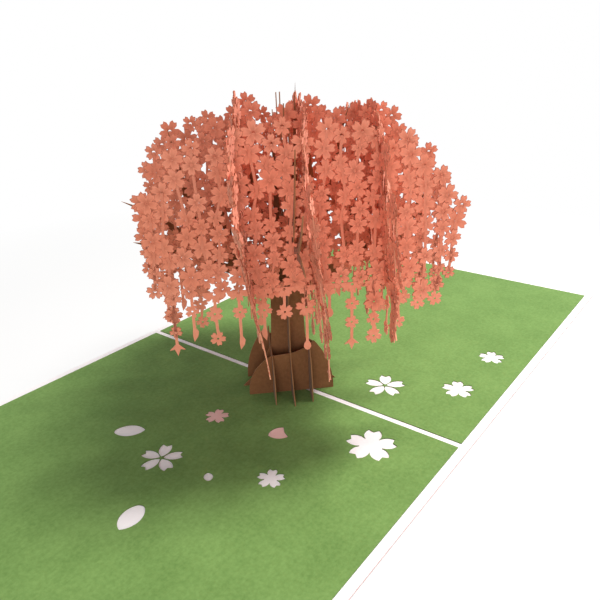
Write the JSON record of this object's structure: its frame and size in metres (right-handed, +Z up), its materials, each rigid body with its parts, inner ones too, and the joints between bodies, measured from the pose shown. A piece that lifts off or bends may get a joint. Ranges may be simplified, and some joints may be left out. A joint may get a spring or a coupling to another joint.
{
  "type": "pop up card",
  "caption": "Pop up card lying open: white cover with green inner sheets cut with blossoms, and a brown tree with a pink slotted crown.",
  "frame": {"origin": "centre of the fold on the underside of the open card", "axes": "+X along the fold to the right, +Y from the front panel to the back panel, +Z up"},
  "size_m": [0.15, 0.3, 0.1078],
  "materials": {
    "cover_paper": "matte, smooth white card",
    "green_paper": "matte, fine mottled grain",
    "pink_paper": "matte",
    "trunk_card": "matte, laser cut edges",
    "blossom_card": "matte, laser cut edges"
  },
  "bodies": {
    "root": {"cover": "cover_paper", "front_green_sheet": "green_paper", "back_green_sheet": "green_paper", "pink_blossom_inlay": "pink_paper", "pink_petal_inlay": "pink_paper", "root_slice_a1": "trunk_card", "root_slice_a2": "trunk_card", "root_slice_b1": "trunk_card", "root_slice_b2": "trunk_card", "trunk_slice_a": "trunk_card", "trunk_slice_b": "trunk_card", "blossom_slice_a1": "blossom_card", "blossom_slice_a2": "blossom_card", "blossom_slice_a3": "blossom_card", "blossom_slice_b1": "blossom_card", "blossom_slice_b2": "blossom_card", "blossom_slice_b3": "blossom_card"}
  },
  "joints": []
}
